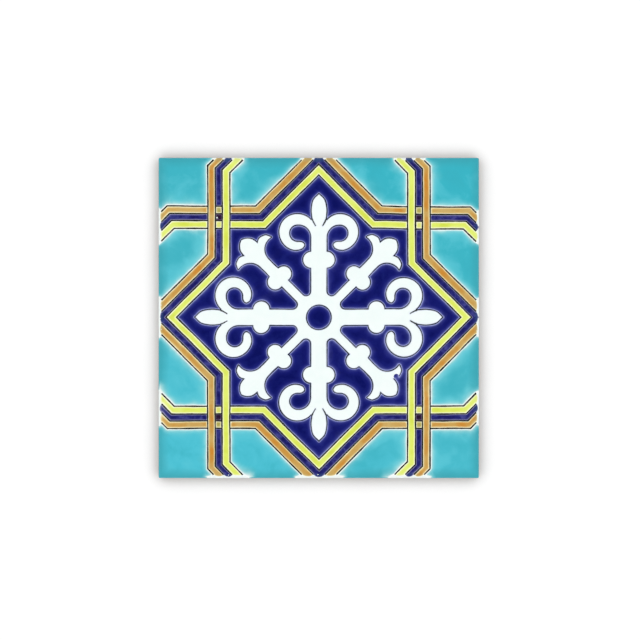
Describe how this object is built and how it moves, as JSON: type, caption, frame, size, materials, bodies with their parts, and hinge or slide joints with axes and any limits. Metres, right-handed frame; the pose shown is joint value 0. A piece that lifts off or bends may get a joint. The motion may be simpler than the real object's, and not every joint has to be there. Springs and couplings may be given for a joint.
{
  "type": "painted ceramic tile",
  "caption": "Square glazed earthenware wall tile, its face painted with a strapwork star round a white flowered cross, its back keyed with ribs.",
  "frame": {"origin": "under the middle of the tile, in the plane of the feet of its back ribs", "axes": "+Z out of the glazed face, +Y towards the edge that is at the top of the picture, +X to the right of it"},
  "size_m": [0.2, 0.2, 0.008],
  "materials": {
    "glaze": "gloss",
    "biscuit": "matte"
  },
  "bodies": {
    "root": {"painted_tile": "glaze"}
  },
  "joints": []
}
